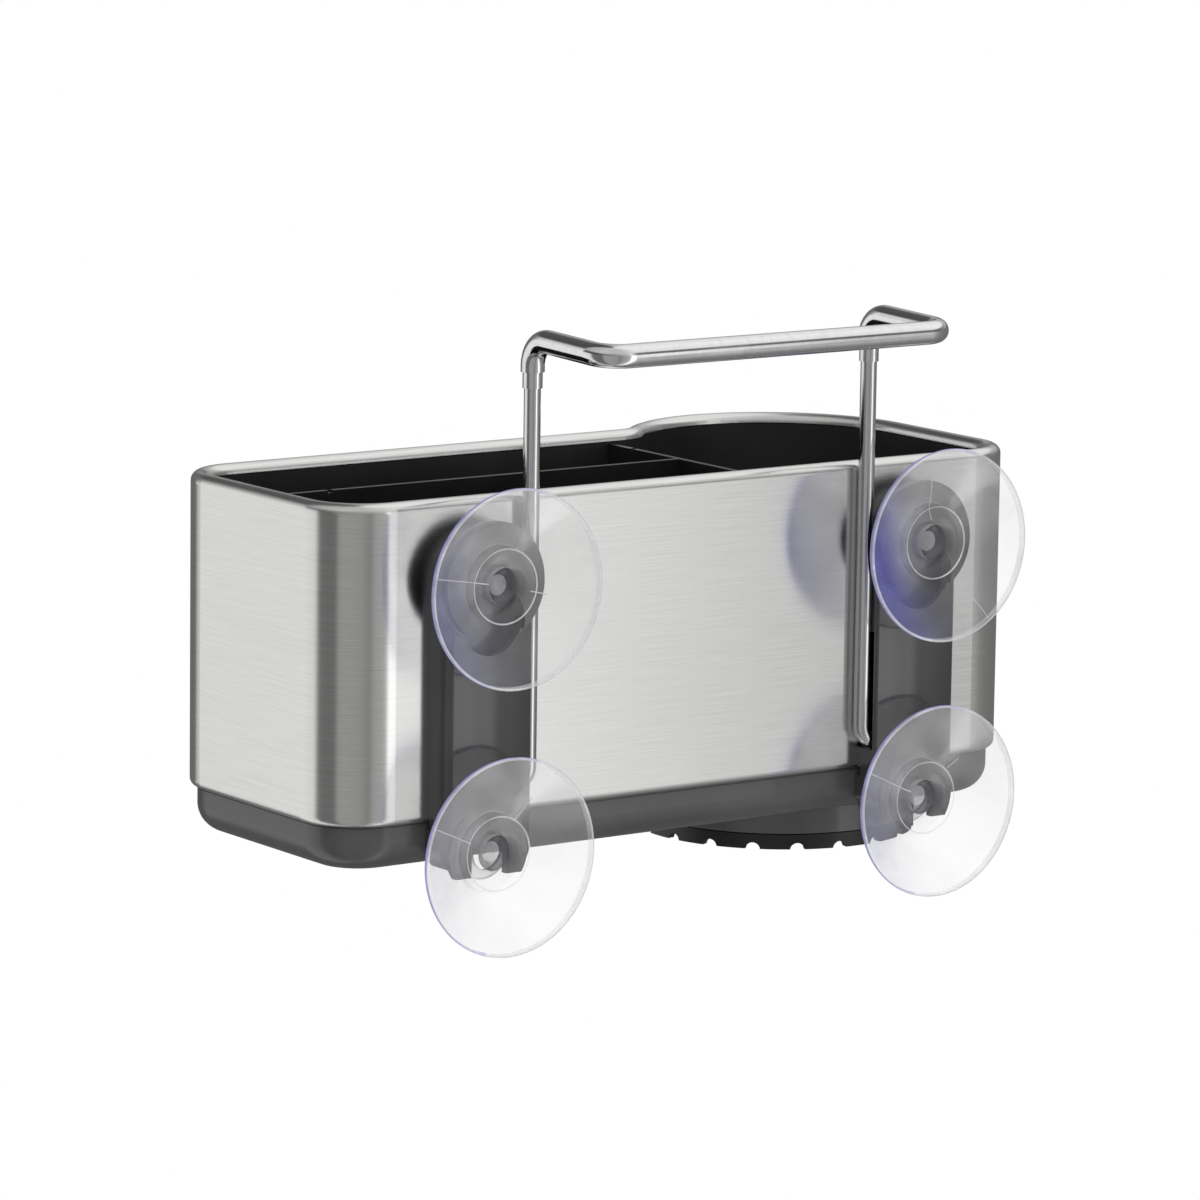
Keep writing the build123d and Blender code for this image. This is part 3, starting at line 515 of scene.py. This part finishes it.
# Brightness of the studio by direction, in degrees from +X towards +Y, in three rings: level with the
# caddy, above that, and high up
LEVEL_RING = [
    (-180, 0.18), (-120, 0.14), (-74, 0.16), (-64, 0.84), (-54, 0.88), (-22, 0.80), (-13, 0.16), (17, 0.15),
    (24, 0.35), (60, 0.32), (76, 0.22), (84, 0.36), (106, 0.42), (109, 1.45), (116, 1.45), (119, 1.15),
    (122, 1.20), (124, 1.28), (125.3, 1.10), (126.4, 0.86), (127.3, 0.56), (128.5, 0.42), (131, 0.42),
    (133, 0.48), (140, 0.32), (150, 0.24), (165, 0.20), (180, 0.18),
]
MIDDLE_RING = [
    (-180, 0.30), (-150, 0.50), (-125, 0.40), (-105, 0.14), (-75, 0.20), (-60, 0.50), (-54, 0.90), (-47, 0.14),
    (-5, 0.06), (28, 0.20), (60, 0.30), (95, 0.50), (105, 0.80), (114, 0.80), (120, 0.16), (140, 0.14),
    (165, 0.18), (180, 0.30),
]
HIGH_RING = [
    (-180, 0.95), (-140, 0.85), (-125, 0.45), (-112, 0.10), (-62, 0.07), (-48, 0.45), (20, 0.60), (70, 0.55),
    (110, 0.70), (135, 0.90), (165, 1.00), (180, 0.95),
]
# Height, as the sine of the angle above the level, from which and by which the next ring takes over
MIDDLE_RISE = (0.13, 0.22)
HIGH_RISE = (0.36, 0.52)
# Blue in the studio's light, next to its red and green
LIGHT_BLUE = 0.985


def ring_colour(nodes, links, around, ring):
    """Colour of a ring in the direction looked in, from one turn of a ramp."""
    ramp = nodes.new("ShaderNodeValToRGB")
    stops = ramp.color_ramp.elements
    while len(stops) < len(ring):
        stops.new(0.5)
    for stop, (degrees, level) in zip(stops, ring):
        stop.position = (degrees + 180) / 360
        stop.color = (level, level, level * LIGHT_BLUE, 1)
    links.new(around, ramp.inputs["Fac"])
    return ramp.outputs["Color"]


world = bpy.data.worlds.new("studio")
bpy.context.scene.world = world
world.use_nodes = True
nodes, links = world.node_tree.nodes, world.node_tree.links
for node in list(nodes):
    nodes.remove(node)
coords = nodes.new("ShaderNodeTexCoord")
direction = nodes.new("ShaderNodeSeparateXYZ")
links.new(coords.outputs["Generated"], direction.inputs[0])
turn = calculated(nodes, links, "ARCTAN2", direction.outputs["Y"], direction.outputs["X"])
around = spread(nodes, links, turn, 0, 1, start=-math.pi, end=math.pi)
studio_colour = ring_colour(nodes, links, around, LEVEL_RING)
for ring, (start, end) in ((MIDDLE_RING, MIDDLE_RISE), (HIGH_RING, HIGH_RISE)):
    rise = nodes.new("ShaderNodeMapRange")
    rise.interpolation_type = "SMOOTHSTEP"
    rise.inputs["From Min"].default_value = start
    rise.inputs["From Max"].default_value = end
    links.new(direction.outputs["Z"], rise.inputs["Value"])
    step = nodes.new("ShaderNodeMix")
    step.data_type = "RGBA"
    links.new(rise.outputs["Result"], step.inputs[MIX_FACTOR])
    links.new(studio_colour, step.inputs[MIX_FIRST])
    links.new(ring_colour(nodes, links, around, ring), step.inputs[MIX_SECOND])
    studio_colour = step.outputs[MIX_RESULT]
studio = nodes.new("ShaderNodeBackground")
studio.inputs["Strength"].default_value = 1.0
links.new(studio_colour, studio.inputs["Color"])
backdrop = nodes.new("ShaderNodeBackground")
backdrop.inputs["Color"].default_value = (1, 1, 1, 1)
backdrop.inputs["Strength"].default_value = 1.0
world_output = nodes.new("ShaderNodeOutputWorld")
links.new(white_when_looked_at(nodes, links, studio, backdrop), world_output.inputs["Surface"])


def area_light(name, place, aim, size, power):
    """A rectangular lamp that looks at the aim, and shows neither itself nor its mirror image."""
    data = bpy.data.lights.new(name, "AREA")
    data.shape = "RECTANGLE"
    data.size, data.size_y = size
    data.energy = power
    lamp = add_object(name, data)
    lamp.location = place
    lamp.rotation_mode = "QUATERNION"
    lamp.rotation_quaternion = (Vector(aim) - Vector(place)).to_track_quat("-Z", "Y")
    lamp.visible_glossy = False
    lamp.visible_camera = False


area_light("key_softbox", place=(0.7, 0.9, 1.4), aim=(0, -0.05, 0), size=(0.8, 0.8), power=6)
area_light("table_bounce", place=(0.15, 0.35, -0.27), aim=(0, -0.06, -0.04), size=(0.7, 0.4), power=1.0)


# Camera, fitted to the corners of the caddy in the photograph: angles in radians, place in metres,
# lens and sensor in millimetres
YAW, PITCH, ROLL = 3.76184, 0.16783, 0.01422
PLACE = (1.03712, 1.38499, 0.32080)
LENS = 188.09
SENSOR_WIDTH = 36
cam_data = bpy.data.cameras.new("camera")
cam_data.sensor_width = SENSOR_WIDTH
cam_data.lens = LENS
cam_data.clip_start, cam_data.clip_end = 0.05, 50
camera = add_object("camera", cam_data)
right = Vector((math.cos(YAW), -math.sin(YAW), 0))
ahead = Vector((math.sin(YAW) * math.cos(PITCH), math.cos(YAW) * math.cos(PITCH), -math.sin(PITCH)))
up = right.cross(ahead)
right, up = math.cos(ROLL) * right + math.sin(ROLL) * up, -math.sin(ROLL) * right + math.cos(ROLL) * up
camera.matrix_world = Matrix.Translation(PLACE) @ Matrix((right, up, -ahead)).transposed().to_4x4()
bpy.context.scene.camera = camera
bpy.context.scene.view_settings.view_transform = "Standard"
